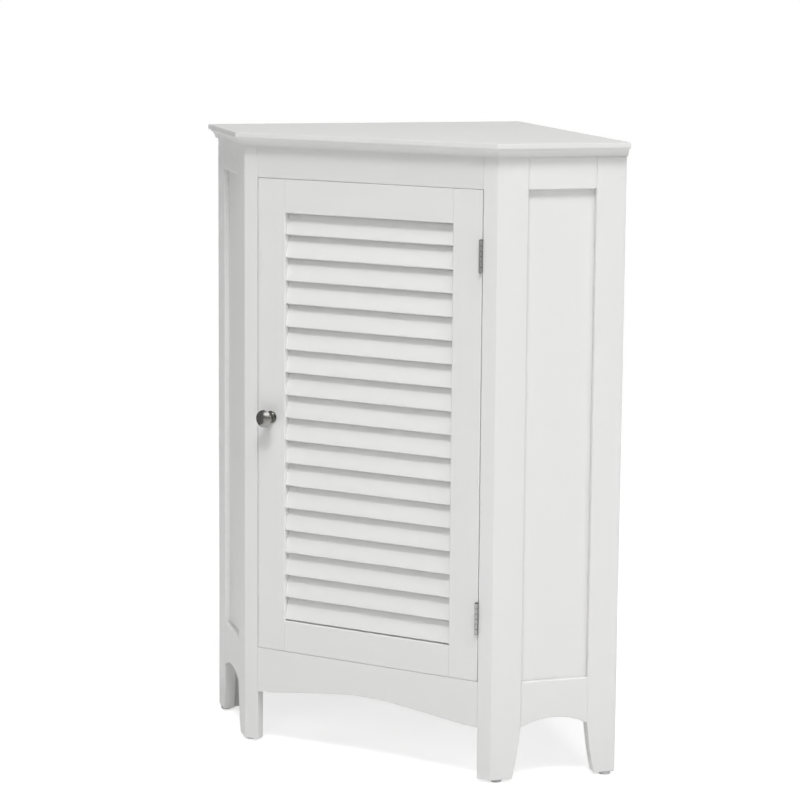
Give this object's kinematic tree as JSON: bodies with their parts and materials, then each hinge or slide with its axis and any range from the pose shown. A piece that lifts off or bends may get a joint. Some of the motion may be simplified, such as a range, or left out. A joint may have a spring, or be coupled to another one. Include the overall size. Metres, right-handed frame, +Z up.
{
  "type": "corner bathroom cabinet",
  "caption": "Freestanding corner bathroom cabinet in white painted wood, with a moulded top, a louvred door on butt hinges, a round metal knob, panelled sides, arched aprons and tapered legs.",
  "frame": {"origin": "on the floor under the middle of the cabinet's box, knob included", "axes": "+Z up; the door faces -Y; +X to the right as one faces the door; the room's corner is towards +Y"},
  "size_m": [0.6266, 0.4446, 0.814],
  "materials": {
    "white_paint": "satin white paint",
    "door_paint": "satin white paint",
    "slat_paint": "satin white paint",
    "shelf_paint": "satin white paint",
    "back_board": "thin painted board",
    "dowel_beech": "bare beech",
    "knob_nickel": "satin nickel",
    "hinge_nickel": "nickel plate",
    "hinge_screw": "nickel plate",
    "zinc_screw": "zinc plate",
    "zinc_bracket": "zinc plate",
    "pin_steel": "nickel plate",
    "glide_plastic": "moulded grey",
    "catch_plastic": "moulded white",
    "magnet_ferrite": "ground ferrite"
  },
  "bodies": {
    "carcass": {"top_board": "white_paint", "front_left_post": "white_paint", "front_right_post": "white_paint", "rear_left_stile": "white_paint", "rear_right_stile": "white_paint", "rear_left_batten": "white_paint", "rear_right_batten": "white_paint", "back_corner_post": "white_paint", "left_top_rail": "white_paint", "right_top_rail": "white_paint", "left_bottom_rail": "white_paint", "right_bottom_rail": "white_paint", "left_side_panel": "white_paint", "right_side_panel": "white_paint", "front_top_rail": "white_paint", "front_apron": "white_paint", "bottom_board": "white_paint", "left_back_panel": "back_board", "right_back_panel": "back_board", "frame_dowels": "dowel_beech", "back_panel_screws": "zinc_screw", "top_brackets": "zinc_bracket", "bracket_screws": "zinc_screw", "foot_glides": "glide_plastic", "shelf_pins": "pin_steel", "hinge_frame_leaves": "hinge_nickel", "hinge_pins": "hinge_nickel", "frame_screws": "hinge_screw", "catch_housing": "catch_plastic", "catch_magnet": "magnet_ferrite"},
    "door": {"door_left_stile": "door_paint", "door_right_stile": "door_paint", "door_top_rail": "door_paint", "door_bottom_rail": "door_paint", "louvre_slat_01": "slat_paint", "louvre_slat_02": "slat_paint", "louvre_slat_03": "slat_paint", "louvre_slat_04": "slat_paint", "louvre_slat_05": "slat_paint", "louvre_slat_06": "slat_paint", "louvre_slat_07": "slat_paint", "louvre_slat_08": "slat_paint", "louvre_slat_09": "slat_paint", "louvre_slat_10": "slat_paint", "louvre_slat_11": "slat_paint", "louvre_slat_12": "slat_paint", "louvre_slat_13": "slat_paint", "louvre_slat_14": "slat_paint", "louvre_slat_15": "slat_paint", "louvre_slat_16": "slat_paint", "louvre_slat_17": "slat_paint", "louvre_slat_18": "slat_paint", "door_dowels": "dowel_beech", "hinge_door_leaves": "hinge_nickel", "door_screws": "hinge_screw", "strike_plate": "zinc_bracket", "knob": "knob_nickel", "knob_screw": "zinc_screw"},
    "shelf": {"shelf_board": "shelf_paint"}
  },
  "joints": [
    {"name": "door_hinge", "type": "hinge", "parent": "carcass", "child": "door", "pos_m": [0.1634, -0.20299, 0.4435], "axis": [0, 0, 1], "range_deg": [0, 165]},
    {"name": "shelf_lift", "type": "slide", "parent": "carcass", "child": "shelf", "axis": [0, 0, 1], "range_m": [0, 0.03]}
  ]
}
